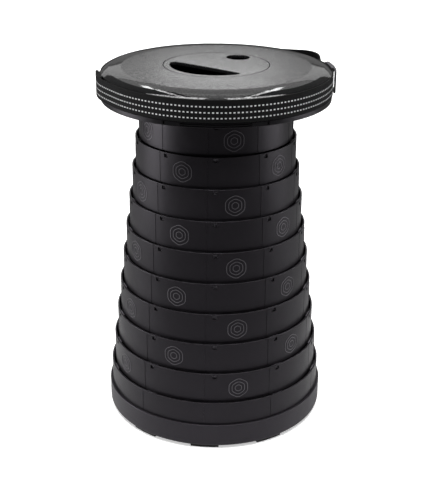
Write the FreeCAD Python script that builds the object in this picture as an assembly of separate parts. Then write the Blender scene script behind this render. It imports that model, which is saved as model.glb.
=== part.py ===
import FreeCAD, Part
import math
import os

# Collapsible telescopic stool, in millimetres.
# A cup base holds the widest of ten rings. Each smaller ring slides inside the next one,
# and a round seat with its own short ring slides inside the smallest.
# The origin is on the floor under the middle of the base, and +Z is up.
# An azimuth is in degrees round the stool, from the front (-Y) towards the right (+X).

Z_AXIS = FreeCAD.Vector(0, 0, 1)

# Nesting rings
RING_COUNT = 10
LARGEST_RING_RADIUS = 122.0
RADIUS_STEP = 4.13
RING_WALL = 2.0
RING_HEIGHT = 44.0
RING_PITCH = 34.0
FIRST_RIM_Z = 57.2
RIM_ROUNDING = 0.5

# Ten panels round every ring, with a seam between panels and a lock window beside each seam
PANELS = 10
PANEL_ANGLE = 360.0 / PANELS
SEAM_AZIMUTH = -5.2
SEAM_WIDTH = 0.8
SEAM_DEPTH = 0.35
WINDOW_AZIMUTH = 0.0
WINDOW_WIDTH = 4.6
WINDOW_HEIGHT = 4.0
WINDOW_BELOW_RIM = 3.6

# Twist lock: lugs low on each ring, with stops and ledges inside the ring round it
LUG_DEPTH = 1.75
LUG_HEIGHT = 4.2
LUG_ABOVE_BOTTOM = 3.6
LUG_HALF_ANGLE = 2.2
CATCH_DEPTH = 1.6
STOP_HEIGHT = 1.0
STOP_BELOW_RIM = 0.6
STOP_HALF_ANGLE = 3.2
LEDGE_HEIGHT = 2.8
LEDGE_TOP_BELOW_RIM = 6.6
LEDGE_OFFSET_ANGLE = 10.0
LEDGE_HALF_ANGLE = 3.0
ROOT_OVERLAP = 0.3

# Base cup and its feet
BASE_RADIUS = 125.0
BASE_RIM_Z = 30.6
BASE_FLOOR = 3.0
BASE_CORNER = 4.0
BASE_FIT_GAP = 0.2
BASE_RIB_HEIGHT = 2.6
BASE_RIB_WIDTH = 2.0
BASE_RIB_RADII = (30.0, 62.0, 94.0)
SNAP_DEPTH = 1.2
SNAP_HEIGHT = 4.0
SNAP_Z = 14.0
SNAP_HALF_ANGLE = 4.0
FOOT_HEIGHT = 3.6
FOOT_INNER_RADIUS = 109.0
FOOT_OUTER_RADIUS = 121.0
FOOT_HALF_ANGLE = 7.5
FOOT_ROUNDING = 0.8

# Seat: domed shell over a tray whose skirt carries the strap
SEAT_TOP_Z = 406.2
DOME_DROP = 1.754
DOME_RADIUS = 100.0
# The shell's shoulder falls away in three arcs that end at these radii and heights
SHOULDER = ((116.5, 403.1), (121.4, 401.65), (124.5, 399.85))
SHELL_FOOT_RADIUS = 123.9
SHELL_UNDERSIDE_Z = 401.2
SHELL_RIM_INNER_RADIUS = 118.0
TRAY_UNDERSIDE_Z = 397.6
TRAY_PLATE = 1.8
TRAY_HOLE_RADIUS = 60.0
SKIRT_INNER_RADIUS = 122.45
SKIRT_OUTER_RADIUS = 124.1
SKIRT_BOTTOM_Z = 371.0
SKIRT_TOP_RADIUS = 122.6
SKIRT_SHOULDER_Z = 397.4
LIP_RADIUS = 125.4
LIP_TOP_Z = 376.2
FACE_GAP = 0.1
SHELL_RIB_WIDTH = 1.6

# Grip recess in the skirt's lip, front and back
GRIP_HALF_ANGLE = 16.6
GRIP_FLOOR_RADIUS = 123.9
GRIP_BANDS = ((371.9, 373.0), (373.8, 375.2))
GRIP_NOTCH_AZIMUTH = 24.5
GRIP_NOTCH_HALF_ANGLE = 0.45
GRIP_NOTCH_SPAN = (371.7, 375.4)

# Middle disc with a finger opening on one side and a thumb hole opposite
DISC_RADIUS = 57.2
DISC_RECESS_RADIUS = 57.9
DISC_UNDERSIDE_Z = 402.6
SHELL_HOLE_RADIUS = 54.5
LEDGE_UNDERSIDE_Z = 400.3
GRIP_AXIS_AZIMUTH = -36.0
FINGER_ARC_RADIUS = 50.0
FINGER_CHORD_DISTANCE = 18.0
FINGER_CORNER = 4.0
THUMB_RADIUS = 12.6
THUMB_CENTRE_RADIUS = 40.6
OPENING_ROUNDING = 0.7
CLIP_AZIMUTHS = (60.0, 110.0, 178.0, 228.0)
CLIP_HALF_ANGLE = 5.0
CLIP_STEM = (52.4, 54.2)
CLIP_NOSE_RADIUS = 55.6
CLIP_BOTTOM_Z = 398.4
CLIP_NOSE_TOP_Z = 400.2

# Seat ring's flange and the screws that hold the seat together
FLANGE_INNER_RADIUS = 66.0
FLANGE_THICKNESS = 2.4
SCREW_COUNT = 5
SCREW_CIRCLE_RADIUS = 72.5
SCREW_AZIMUTH = 12.8
SCREW_RADIUS = 1.4
SCREW_CLEARANCE = 0.3
SCREW_TIP_Z = 402.8
SCREW_HEAD_RADIUS = 3.0
SCREW_HEAD_HEIGHT = 1.8
SCREW_RECESS_WIDTH = 0.9
SCREW_RECESS_LENGTH = 3.6
BOSS_RADIUS = 3.6

# Carrying strap round the skirt, and its slider
STRAP_THICKNESS = 1.6
STRAP_RADIUS = 126.0
STRAP_BOTTOM_Z = 376.6
STRAP_WIDTH = 23.0
STRAP_STEP = 10.0
# Azimuth and outer radius where the strap stands away from the skirt
LEFT_FOLD = ((-70, 126.6), (-78, 128.3), (-84, 129.8), (-88, 129.7), (-92, 127.8))
REAR_LOOP = (
    (108, 126.2), (115, 129.5), (121, 137.4), (126, 143.4), (130, 145.4),
    (134, 143.6), (138, 138.0), (143, 131.5), (149, 128.0), (157, 126.4),
)
STRAP_PLAIN_ARCS = ((-60, 100), (166, 260))
SLIDER_AZIMUTH = 97.6
SLIDER_HALF_ANGLE = 9.8
SLIDER_RADII = (127.4, 129.4)
SLIDER_SPAN = (374.8, 401.3)
SLIDER_BORDER = 3.2
SLIDER_BAR_HALF_ANGLE = 1.2
SLIDER_END_ANGLE = 1.9
SLIDER_CORNER = 3.5
# Bars that reach in over and under the strap's edges: inner radius and heights
SLIDER_TOP_BAR = (124.8, 399.8, 401.3)
SLIDER_BOTTOM_BAR = (126.3, 374.8, 376.4)
SLIDER_REACH_AZIMUTH = 99.0
SLIDER_REACH_HALF_ANGLE = 6.6

BASE_UNDERSIDE_Z = FOOT_HEIGHT
BASE_FLOOR_TOP_Z = FOOT_HEIGHT + BASE_FLOOR
TRAY_TOP_Z = TRAY_UNDERSIDE_Z + TRAY_PLATE


def panel_azimuths(first):
    """One azimuth for each of the ten panels, starting at first."""
    return [first + PANEL_ANGLE * index for index in range(PANELS)]


def place(azimuth, radius, height):
    """The point at an azimuth, a radius and a height."""
    angle = math.radians(azimuth)
    return FreeCAD.Vector(radius * math.sin(angle), -radius * math.cos(angle), height)


def turned(shape, azimuth):
    """A copy of a shape made at the front, turned round the stool to an azimuth."""
    copy = shape.copy()
    copy.rotate(FreeCAD.Vector(0, 0, 0), Z_AXIS, azimuth)
    return copy


def tube(outer_radius, inner_radius, low, high):
    base = FreeCAD.Vector(0, 0, low)
    outer = Part.makeCylinder(outer_radius, high - low, base)
    return outer.cut(Part.makeCylinder(inner_radius, high - low, base))


def arc_block(inner_radius, outer_radius, low, high, azimuth, half_angle):
    """A block that follows the ring's curve, centred on an azimuth."""
    base = FreeCAD.Vector(0, 0, low)
    outer = Part.makeCylinder(outer_radius, high - low, base, Z_AXIS, 2 * half_angle)
    inner = Part.makeCylinder(inner_radius, high - low, base, Z_AXIS, 2 * half_angle)
    return turned(outer.cut(inner), azimuth - 90.0 - half_angle)


def radial_box(width, inner_radius, outer_radius, low, high, azimuth):
    """A straight box that points outwards at an azimuth."""
    corner = FreeCAD.Vector(-width / 2, -outer_radius, low)
    box = Part.makeBox(width, outer_radius - inner_radius, high - low, corner)
    return turned(box, azimuth)


def spun(edges):
    """The solid made by turning a closed outline in the XZ plane round the Z axis."""
    return Part.Face(Part.Wire(edges)).revolve(FreeCAD.Vector(0, 0, 0), Z_AXIS, 360)


def point(radius, height):
    return FreeCAD.Vector(radius, 0, height)


def lines(*corners):
    """Straight edges of an outline through radius and height pairs."""
    points = [point(*corner) for corner in corners]
    return [Part.makeLine(a, b) for a, b in zip(points, points[1:])]


def arc(start, middle, end):
    return Part.Arc(point(*start), point(*middle), point(*end)).toShape()


def level_edges(shape, height, radius_range):
    """The round edges that lie at one height within a range of radii."""
    found = []
    for edge in shape.Edges:
        box = edge.BoundBox
        if abs(box.ZMin - height) > 0.01 or abs(box.ZMax - height) > 0.01:
            continue
        if hasattr(edge.Curve, "Radius") and radius_range[0] <= edge.Curve.Radius <= radius_range[1]:
            found.append(edge)
    return found


def save(name, shape):
    solid = shape.removeSplitter() if shape.ShapeType != "Compound" else shape
    solids = solid.Solids
    if len(solids) == 1:
        solid = solids[0]
    if not solid.isValid():
        raise ValueError(name + " is not a valid solid")
    solid.exportStep("parts/" + name + ".step")
    print(name, "solids", len(solids), "volume", round(sum(s.Volume for s in solids) / 1000, 1), "cm3")


def ring_radius(number):
    return LARGEST_RING_RADIUS - RADIUS_STEP * (RING_COUNT - number)


def ring_rim(number):
    return FIRST_RIM_Z + RING_PITCH * (RING_COUNT - number)


def lugs(radius, bottom):
    low = bottom + LUG_ABOVE_BOTTOM
    return [
        arc_block(radius - ROOT_OVERLAP, radius + LUG_DEPTH, low, low + LUG_HEIGHT, azimuth, LUG_HALF_ANGLE)
        for azimuth in panel_azimuths(WINDOW_AZIMUTH)
    ]


def catches(radius, rim):
    """Inside a ring: a stop over each lug of the smaller ring, and the ledge that it twists on to."""
    wall_inside = radius - RING_WALL
    inner, outer = wall_inside - CATCH_DEPTH, wall_inside + ROOT_OVERLAP
    stop_top = rim - STOP_BELOW_RIM
    ledge_top = rim - LEDGE_TOP_BELOW_RIM
    blocks = []
    for azimuth in panel_azimuths(WINDOW_AZIMUTH):
        blocks.append(arc_block(inner, outer, stop_top - STOP_HEIGHT, stop_top, azimuth, STOP_HALF_ANGLE))
        ledge_azimuth = azimuth + LEDGE_OFFSET_ANGLE
        blocks.append(
            arc_block(inner, outer, ledge_top - LEDGE_HEIGHT, ledge_top, ledge_azimuth, LEDGE_HALF_ANGLE)
        )
    return blocks


def seams(radius, low, high):
    return [
        radial_box(SEAM_WIDTH, radius - SEAM_DEPTH, radius + 1, low, high, azimuth)
        for azimuth in panel_azimuths(SEAM_AZIMUTH)
    ]


def windows(radius, rim):
    middle = rim - WINDOW_BELOW_RIM
    low, high = middle - WINDOW_HEIGHT / 2, middle + WINDOW_HEIGHT / 2
    return [
        radial_box(WINDOW_WIDTH, radius - RING_WALL - 1, radius + 1, low, high, azimuth)
        for azimuth in panel_azimuths(WINDOW_AZIMUTH)
    ]


def ring_wall(radius, bottom, rim):
    wall = tube(radius, radius - RING_WALL, bottom, rim)
    return wall.makeFillet(RIM_ROUNDING, level_edges(wall, rim, (0, radius)))


def sliding_ring(number):
    radius, rim = ring_radius(number), ring_rim(number)
    bottom = rim - RING_HEIGHT
    body = ring_wall(radius, bottom, rim).cut(seams(radius, bottom, rim))
    body = body.cut(windows(radius, rim))
    return body.fuse(lugs(radius, bottom) + catches(radius, rim))


def fixed_ring():
    """The widest ring: it stands on the base's floor and snaps into the cup."""
    radius, rim = ring_radius(RING_COUNT), ring_rim(RING_COUNT)
    body = ring_wall(radius, BASE_FLOOR_TOP_Z, rim).cut(seams(radius, BASE_RIM_Z - 3, rim))
    snaps = [
        arc_block(radius - ROOT_OVERLAP, radius + SNAP_DEPTH, SNAP_Z, SNAP_Z + SNAP_HEIGHT, azimuth, SNAP_HALF_ANGLE)
        for azimuth in panel_azimuths(WINDOW_AZIMUTH)[::2]
    ]
    return body.fuse(snaps + catches(radius, rim))


def base_cup():
    inner = LARGEST_RING_RADIUS + BASE_FIT_GAP
    middle = BASE_CORNER * (1 - math.sqrt(0.5))
    edges = lines(
        (0, BASE_FLOOR_TOP_Z), (inner, BASE_FLOOR_TOP_Z), (inner, BASE_RIM_Z), (BASE_RADIUS, BASE_RIM_Z),
        (BASE_RADIUS, BASE_UNDERSIDE_Z + BASE_CORNER),
    )
    edges.append(
        arc(
            (BASE_RADIUS, BASE_UNDERSIDE_Z + BASE_CORNER),
            (BASE_RADIUS - middle, BASE_UNDERSIDE_Z + middle),
            (BASE_RADIUS - BASE_CORNER, BASE_UNDERSIDE_Z),
        )
    )
    edges += lines((BASE_RADIUS - BASE_CORNER, BASE_UNDERSIDE_Z), (0, BASE_UNDERSIDE_Z), (0, BASE_FLOOR_TOP_Z))
    cup = spun(edges)
    cup = cup.makeFillet(RIM_ROUNDING * 2, level_edges(cup, BASE_RIM_Z, (BASE_RADIUS - 1, BASE_RADIUS + 1)))
    ribs = []
    for radius in BASE_RIB_RADII:
        low = BASE_FLOOR_TOP_Z - ROOT_OVERLAP
        ribs.append(tube(radius, radius - BASE_RIB_WIDTH, low, BASE_FLOOR_TOP_Z + BASE_RIB_HEIGHT))
    for azimuth in panel_azimuths(WINDOW_AZIMUTH):
        ribs.append(
            radial_box(
                BASE_RIB_WIDTH, BASE_RIB_RADII[0] - 1, LARGEST_RING_RADIUS - RING_WALL - 1,
                BASE_FLOOR_TOP_Z - ROOT_OVERLAP, BASE_FLOOR_TOP_Z + BASE_RIB_HEIGHT, azimuth,
            )
        )
    pockets = [
        arc_block(
            inner - 1, inner + SNAP_DEPTH, SNAP_Z - BASE_FIT_GAP, SNAP_Z + SNAP_HEIGHT + BASE_FIT_GAP,
            azimuth, SNAP_HALF_ANGLE + BASE_FIT_GAP,
        )
        for azimuth in panel_azimuths(WINDOW_AZIMUTH)[::2]
    ]
    return cup.fuse(ribs).cut(pockets)


def foot_pads():
    pads = []
    for azimuth in panel_azimuths(SEAM_AZIMUTH):
        pad = arc_block(FOOT_INNER_RADIUS, FOOT_OUTER_RADIUS, 0, FOOT_HEIGHT, azimuth, FOOT_HALF_ANGLE)
        lower = [e for e in pad.Edges if e.BoundBox.ZMax < 0.01]
        pads.append(pad.makeFillet(FOOT_ROUNDING, lower))
    return Part.makeCompound(pads)


def dome_height(radius):
    return SEAT_TOP_Z - DOME_DROP * (radius / DOME_RADIUS) ** 2


def dome_arc(start, end):
    middle = (start + end) / 2
    return arc((start, dome_height(start)), (middle, dome_height(middle)), (end, dome_height(end)))


def falling_arc(start, slope, end):
    """The arc that leaves start at a slope in degrees and reaches end, and its slope there."""
    run, drop = end[0] - start[0], start[1] - end[1]
    chord_slope = math.degrees(math.atan2(drop, run))
    turn = math.radians(chord_slope - slope)
    half_chord = math.hypot(run, drop) / 2 / math.cos(turn / 2)
    heading = math.radians(slope + chord_slope) / 2
    middle = (start[0] + half_chord * math.cos(heading), start[1] - half_chord * math.sin(heading))
    return arc(start, middle, end), 2 * chord_slope - slope


def screw_azimuths():
    return [SCREW_AZIMUTH + 360.0 / SCREW_COUNT * index for index in range(SCREW_COUNT)]


def screw_holes(radius, low, high):
    return [
        Part.makeCylinder(radius, high - low, place(azimuth, SCREW_CIRCLE_RADIUS, low))
        for azimuth in screw_azimuths()
    ]


def seat_shell():
    """The domed top with its broad sloping shoulder, open in the middle for the disc."""
    edges = [dome_arc(DISC_RECESS_RADIUS, DOME_RADIUS)]
    start = (DOME_RADIUS, dome_height(DOME_RADIUS))
    slope = math.degrees(math.atan(2 * DOME_DROP / DOME_RADIUS))
    for end in SHOULDER:
        falling, slope = falling_arc(start, slope, end)
        edges.append(falling)
        start = end
    edges += lines(
        start, (SHELL_FOOT_RADIUS, TRAY_TOP_Z + FACE_GAP),
        (SHELL_RIM_INNER_RADIUS, TRAY_TOP_Z + FACE_GAP), (SHELL_RIM_INNER_RADIUS, SHELL_UNDERSIDE_Z),
        (DISC_RECESS_RADIUS + 2, SHELL_UNDERSIDE_Z), (DISC_RECESS_RADIUS + 2, LEDGE_UNDERSIDE_Z),
        (SHELL_HOLE_RADIUS, LEDGE_UNDERSIDE_Z), (SHELL_HOLE_RADIUS, DISC_UNDERSIDE_Z),
        (DISC_RECESS_RADIUS, DISC_UNDERSIDE_Z), (DISC_RECESS_RADIUS, dome_height(DISC_RECESS_RADIUS)),
    )
    shell = spun(edges)
    extras = []
    for azimuth in panel_azimuths(WINDOW_AZIMUTH):
        extras.append(
            radial_box(
                SHELL_RIB_WIDTH, DISC_RECESS_RADIUS + 3, SHELL_RIM_INNER_RADIUS + 1,
                TRAY_TOP_Z + FACE_GAP, SHELL_UNDERSIDE_Z + ROOT_OVERLAP, azimuth,
            )
        )
    boss_low = TRAY_TOP_Z + FACE_GAP
    for azimuth in screw_azimuths():
        base = place(azimuth, SCREW_CIRCLE_RADIUS, boss_low)
        extras.append(Part.makeCylinder(BOSS_RADIUS, SHELL_UNDERSIDE_Z + ROOT_OVERLAP - boss_low, base))
    shell = shell.fuse(extras)
    return shell.cut(screw_holes(SCREW_RADIUS + 0.05, boss_low, SCREW_TIP_Z + SCREW_CLEARANCE))


def finger_opening():
    """The D-shaped opening between a chord and an arc, at the front before it is turned."""
    reach = math.sqrt(FINGER_ARC_RADIUS ** 2 - FINGER_CHORD_DISTANCE ** 2)
    left = FreeCAD.Vector(-reach, -FINGER_CHORD_DISTANCE, CLIP_BOTTOM_Z)
    right = FreeCAD.Vector(reach, -FINGER_CHORD_DISTANCE, CLIP_BOTTOM_Z)
    front = FreeCAD.Vector(0, -FINGER_ARC_RADIUS, CLIP_BOTTOM_Z)
    outline = Part.Wire([Part.makeLine(left, right), Part.Arc(right, front, left).toShape()])
    prism = Part.Face(outline).extrude(FreeCAD.Vector(0, 0, 20))
    upright = [e for e in prism.Edges if e.BoundBox.ZLength > 10]
    return turned(prism.makeFillet(FINGER_CORNER, upright), GRIP_AXIS_AZIMUTH)


def thumb_opening():
    base = place(GRIP_AXIS_AZIMUTH + 180, THUMB_CENTRE_RADIUS, CLIP_BOTTOM_Z)
    return Part.makeCylinder(THUMB_RADIUS, 20, base)


def centre_disc():
    edge_z = dome_height(DISC_RADIUS)
    edges = [dome_arc(0, DISC_RADIUS)]
    underside = DISC_UNDERSIDE_Z + FACE_GAP
    edges += lines((DISC_RADIUS, edge_z), (DISC_RADIUS, underside), (0, underside), (0, SEAT_TOP_Z))
    disc = spun(edges)
    disc = disc.makeFillet(RIM_ROUNDING, level_edges(disc, edge_z, (DISC_RADIUS - 1, DISC_RADIUS + 1)))
    disc = disc.cut([finger_opening(), thumb_opening()])
    upper = []
    for edge in disc.Edges:
        box = edge.BoundBox
        inside = math.hypot(box.Center.x, box.Center.y) < DISC_RADIUS - 2
        if box.ZMin > dome_height(DISC_RADIUS) - 0.2 and inside and box.DiagonalLength < 2 * DISC_RADIUS:
            upper.append(edge)
    disc = disc.makeFillet(OPENING_ROUNDING, upper)
    clips = []
    for azimuth in CLIP_AZIMUTHS:
        clips.append(
            arc_block(*CLIP_STEM, CLIP_BOTTOM_Z, underside + ROOT_OVERLAP, azimuth, CLIP_HALF_ANGLE)
        )
        clips.append(
            arc_block(
                CLIP_STEM[0], CLIP_NOSE_RADIUS, CLIP_BOTTOM_Z, CLIP_NOSE_TOP_Z, azimuth, CLIP_HALF_ANGLE,
            )
        )
    return disc.fuse(clips)


def seat_tray():
    """The flat plate under the shell, with the skirt that the strap lies round."""
    edges = lines(
        (TRAY_HOLE_RADIUS, TRAY_UNDERSIDE_Z), (SKIRT_INNER_RADIUS, TRAY_UNDERSIDE_Z),
        (SKIRT_INNER_RADIUS, SKIRT_BOTTOM_Z), (LIP_RADIUS, SKIRT_BOTTOM_Z), (LIP_RADIUS, LIP_TOP_Z),
        (SKIRT_OUTER_RADIUS, LIP_TOP_Z), (SKIRT_OUTER_RADIUS, SKIRT_SHOULDER_Z), (SKIRT_TOP_RADIUS, TRAY_TOP_Z),
        (TRAY_HOLE_RADIUS, TRAY_TOP_Z), (TRAY_HOLE_RADIUS, TRAY_UNDERSIDE_Z),
    )
    tray = spun(edges)
    lip_edges = level_edges(tray, LIP_TOP_Z, (LIP_RADIUS - 0.1, LIP_RADIUS + 0.1))
    lip_edges += level_edges(tray, SKIRT_BOTTOM_Z, (LIP_RADIUS - 0.1, LIP_RADIUS + 0.1))
    tray = tray.makeFillet(RIM_ROUNDING, lip_edges)
    cuts = screw_holes(SCREW_RADIUS + SCREW_CLEARANCE, TRAY_UNDERSIDE_Z, TRAY_TOP_Z)
    for side in (0.0, 180.0):
        for low, high in GRIP_BANDS:
            cuts.append(arc_block(GRIP_FLOOR_RADIUS, LIP_RADIUS + 1, low, high, side, GRIP_HALF_ANGLE))
        for azimuth in (side - GRIP_NOTCH_AZIMUTH, side + GRIP_NOTCH_AZIMUTH):
            cuts.append(
                arc_block(GRIP_FLOOR_RADIUS, LIP_RADIUS + 1, *GRIP_NOTCH_SPAN, azimuth, GRIP_NOTCH_HALF_ANGLE)
            )
    return tray.cut(cuts)


def seat_ring():
    """The short ring under the seat that slides inside the smallest ring."""
    radius = ring_radius(0)
    bottom = ring_rim(0) - RING_HEIGHT
    edges = lines(
        (radius, bottom), (radius, TRAY_UNDERSIDE_Z), (FLANGE_INNER_RADIUS, TRAY_UNDERSIDE_Z),
        (FLANGE_INNER_RADIUS, TRAY_UNDERSIDE_Z - FLANGE_THICKNESS),
        (radius - RING_WALL, TRAY_UNDERSIDE_Z - FLANGE_THICKNESS), (radius - RING_WALL, bottom), (radius, bottom),
    )
    holes = screw_holes(SCREW_RADIUS + SCREW_CLEARANCE, TRAY_UNDERSIDE_Z - FLANGE_THICKNESS, TRAY_UNDERSIDE_Z)
    body = spun(edges).cut(seams(radius, bottom, TRAY_UNDERSIDE_Z) + holes)
    return body.fuse(lugs(radius, bottom))


def seat_screws():
    screws = []
    head_top = TRAY_UNDERSIDE_Z - FLANGE_THICKNESS
    for azimuth in screw_azimuths():
        shank = Part.makeCylinder(
            SCREW_RADIUS, SCREW_TIP_Z - head_top, place(azimuth, SCREW_CIRCLE_RADIUS, head_top)
        )
        head_base = place(azimuth, SCREW_CIRCLE_RADIUS, head_top - SCREW_HEAD_HEIGHT)
        head = Part.makeCylinder(SCREW_HEAD_RADIUS, SCREW_HEAD_HEIGHT, head_base)
        lower = [e for e in head.Edges if e.BoundBox.ZMax < head_base.z + 0.01]
        head = head.makeFillet(SCREW_HEAD_HEIGHT / 3, lower)
        for length, width in (
            (SCREW_RECESS_LENGTH, SCREW_RECESS_WIDTH), (SCREW_RECESS_WIDTH, SCREW_RECESS_LENGTH),
        ):
            corner = head_base - FreeCAD.Vector(length / 2, width / 2, 0)
            head = head.cut(Part.makeBox(length, width, SCREW_HEAD_HEIGHT / 2, corner))
        screws.append(shank.fuse(head))
    return Part.makeCompound(screws)


def strap_outline(inset):
    """The strap's closed line seen from above, moved in from its outer face by inset."""
    stations = list(LEFT_FOLD) + list(REAR_LOOP)
    for start, end in STRAP_PLAIN_ARCS:
        count = round((end - start) / STRAP_STEP)
        stations += [(start + (end - start) * step / count, STRAP_RADIUS) for step in range(count + 1)]
    stations.sort(key=lambda station: (station[0] + 100) % 360)
    curve = Part.BSplineCurve()
    curve.interpolate(
        Points=[place(azimuth, radius - inset, STRAP_BOTTOM_Z) for azimuth, radius in stations],
        PeriodicFlag=True,
    )
    return Part.Wire(curve.toShape())


def carry_strap():
    section = Part.Face(strap_outline(0)).cut(Part.Face(strap_outline(STRAP_THICKNESS)))
    return section.extrude(FreeCAD.Vector(0, 0, STRAP_WIDTH))


def strap_slider():
    """A curved frame with three bars, whose top and bottom reach round the strap's edges."""
    frame = arc_block(*SLIDER_RADII, *SLIDER_SPAN, SLIDER_AZIMUTH, SLIDER_HALF_ANGLE)
    across = [e for e in frame.Edges if 1.0 < e.Length < 3.0 and e.BoundBox.ZLength < 0.01]
    frame = frame.makeFillet(SLIDER_CORNER, across)
    slot_half_angle = (SLIDER_HALF_ANGLE - SLIDER_END_ANGLE - SLIDER_BAR_HALF_ANGLE) / 2
    slot_offset = SLIDER_BAR_HALF_ANGLE + slot_half_angle
    for azimuth in (SLIDER_AZIMUTH - slot_offset, SLIDER_AZIMUTH + slot_offset):
        frame = frame.cut(
            arc_block(
                SLIDER_RADII[0] - 1, SLIDER_RADII[1] + 1, SLIDER_SPAN[0] + SLIDER_BORDER,
                SLIDER_SPAN[1] - SLIDER_BORDER, azimuth, slot_half_angle,
            )
        )
    overlap = SLIDER_RADII[0] + ROOT_OVERLAP
    return frame.fuse([
        arc_block(inner, overlap, low, high, SLIDER_REACH_AZIMUTH, SLIDER_REACH_HALF_ANGLE)
        for inner, low, high in (SLIDER_TOP_BAR, SLIDER_BOTTOM_BAR)
    ])


os.makedirs("parts", exist_ok=True)

save("base_cup", base_cup())
save("foot_pads", foot_pads())
save("ring_10", fixed_ring())
for ring_number in range(1, RING_COUNT):
    save("ring_%d" % ring_number, sliding_ring(ring_number))
save("seat_ring", seat_ring())
save("seat_tray", seat_tray())
save("seat_shell", seat_shell())
save("centre_disc", centre_disc())
save("seat_screws", seat_screws())
save("carry_strap", carry_strap())
save("strap_slider", strap_slider())
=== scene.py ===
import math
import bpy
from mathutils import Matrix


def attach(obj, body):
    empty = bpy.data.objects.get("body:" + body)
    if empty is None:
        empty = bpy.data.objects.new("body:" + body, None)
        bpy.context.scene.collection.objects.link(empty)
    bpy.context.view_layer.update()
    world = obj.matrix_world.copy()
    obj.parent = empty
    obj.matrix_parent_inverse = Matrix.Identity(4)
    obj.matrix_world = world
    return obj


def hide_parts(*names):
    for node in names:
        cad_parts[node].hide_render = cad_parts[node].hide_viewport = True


bl_info = {
    "name": "Telescopic Stool",
    "version": (1, 0, 0),
    "blender": (4, 5, 0),
    "location": "View3D > Sidebar > Stool",
    "description": "Dresses a collapsible telescopic stool on its packed frame",
    "category": "Add Mesh",
}

import bmesh
import bpy
from mathutils import Matrix, Vector

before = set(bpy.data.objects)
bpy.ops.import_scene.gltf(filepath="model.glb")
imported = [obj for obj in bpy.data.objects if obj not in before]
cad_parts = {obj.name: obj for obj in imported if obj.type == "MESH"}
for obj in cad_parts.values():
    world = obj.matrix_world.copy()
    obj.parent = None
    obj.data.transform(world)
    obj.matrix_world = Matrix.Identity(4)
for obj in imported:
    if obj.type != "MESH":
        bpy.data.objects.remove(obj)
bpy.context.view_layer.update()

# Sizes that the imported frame's source also holds, in metres and degrees.
# An azimuth is measured from the front (-Y) towards the right (+X).
RING_NUMBERS = range(1, 11)
SLIDING_RINGS = range(1, 10)
LARGEST_RING_RADIUS = 0.122
RADIUS_STEP = 0.00413
FIRST_RIM_Z = 0.0572
RING_PITCH = 0.034
PANEL_ANGLE = 36.0
SHOULDER_RADIUS = 0.1
STRAP_BOTTOM_Z = 0.3766
STRAP_TOP_Z = 0.3996

# How far a lug's outer face lies inside the outer face of the ring whose window shows it.
LUG_FACE_DEPTH = 0.00238
# Keeps a point that lies just on a rim on the right side of it.
RIM_MARGIN = 0.0001

# The raised figures, one on every other panel. The root is the part sunk into the ring,
# the loops are shares of the figure's size, and the corner is a share of its loop's radius.
FIGURES_PER_RING = 5
FIGURE_AZIMUTH_ODD = 12.8
FIGURE_AZIMUTH_EVEN = -23.2
FIGURE_BELOW_RIM = 0.018
FIGURE_ROOT = 0.0003
FIGURE_LOOPS = (1.0, 0.68, 0.36)
FIGURE_CORNER = 0.3


def place(azimuth, radius, height):
    """The point at an azimuth in degrees, a radius and a height."""
    angle = math.radians(azimuth)
    return Vector((radius * math.sin(angle), -radius * math.cos(angle), height))


def ring_radius(number):
    return LARGEST_RING_RADIUS - RADIUS_STEP * (10 - number)


def ring_rim(number):
    return FIRST_RIM_Z + RING_PITCH * (10 - number)


# Settings


class RingSettings(bpy.types.PropertyGroup):
    colour: bpy.props.FloatVectorProperty(
        name="Ring colour", description="Colour of the rings' plastic", subtype="COLOR",
        default=(0.0024, 0.0021, 0.0026), min=0, max=1,
    )
    rub_and_highlight_colour: bpy.props.FloatVectorProperty(
        name="Rub and highlight colour", description="Colour painted where rims rub and as a painted rim highlight", subtype="COLOR",
        default=(0.018, 0.017, 0.019), min=0, max=1,
    )
    figure_colour: bpy.props.FloatVectorProperty(
        name="Figure colour", description="Colour of the raised figures", subtype="COLOR",
        default=(0.055, 0.054, 0.057), min=0, max=1,
    )
    figure_height: bpy.props.FloatProperty(
        name="Figure height", description="Height of the raised figure on a panel", unit="LENGTH",
        default=0.025, min=0.005, max=0.03,
    )
    figure_line: bpy.props.FloatProperty(
        name="Figure line", description="Width of the raised figure's lines", unit="LENGTH",
        default=0.0007, min=0.0003, max=0.002,
    )
    figure_relief: bpy.props.FloatProperty(
        name="Figure relief", description="How far the figure stands out from the ring", unit="LENGTH",
        default=0.0003, min=0.0001, max=0.001,
    )


class SeatSettings(bpy.types.PropertyGroup):
    colour: bpy.props.FloatVectorProperty(
        name="Seat colour", description="Colour of the seat's plastic", subtype="COLOR",
        default=(0.012, 0.012, 0.0125), min=0, max=1,
    )
    slider_colour: bpy.props.FloatVectorProperty(
        name="Slider colour", description="Colour of the strap's slider", subtype="COLOR",
        default=(0.03, 0.03, 0.032), min=0, max=1,
    )


class StrapSettings(bpy.types.PropertyGroup):
    colour: bpy.props.FloatVectorProperty(
        name="Webbing colour", description="Colour of the woven strap", subtype="COLOR",
        default=(0.0022, 0.0022, 0.0024), min=0, max=1,
    )
    dash_pitch: bpy.props.FloatProperty(
        name="Dash pitch", description="Length from one silver dash to the next", unit="LENGTH",
        default=0.00417, min=0.003, max=0.02,
    )
    thickness: bpy.props.FloatProperty(
        name="Thickness", description="Thickness of the webbing", unit="LENGTH",
        default=0.0016, min=0.0008, max=0.003,
    )


class StageSettings(bpy.types.PropertyGroup):
    world_strength: bpy.props.FloatProperty(
        name="World strength", description="Brightness of the studio's walls", default=0.1, min=0, max=5,
    )
    lens: bpy.props.FloatProperty(
        name="Lens", description="Focal length in millimetres", default=79.72, min=20, max=300,
    )


# Small helpers for modelling


def select_only(obj):
    bpy.ops.object.select_all(action="DESELECT")
    obj.select_set(True)
    bpy.context.view_layer.objects.active = obj


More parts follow.
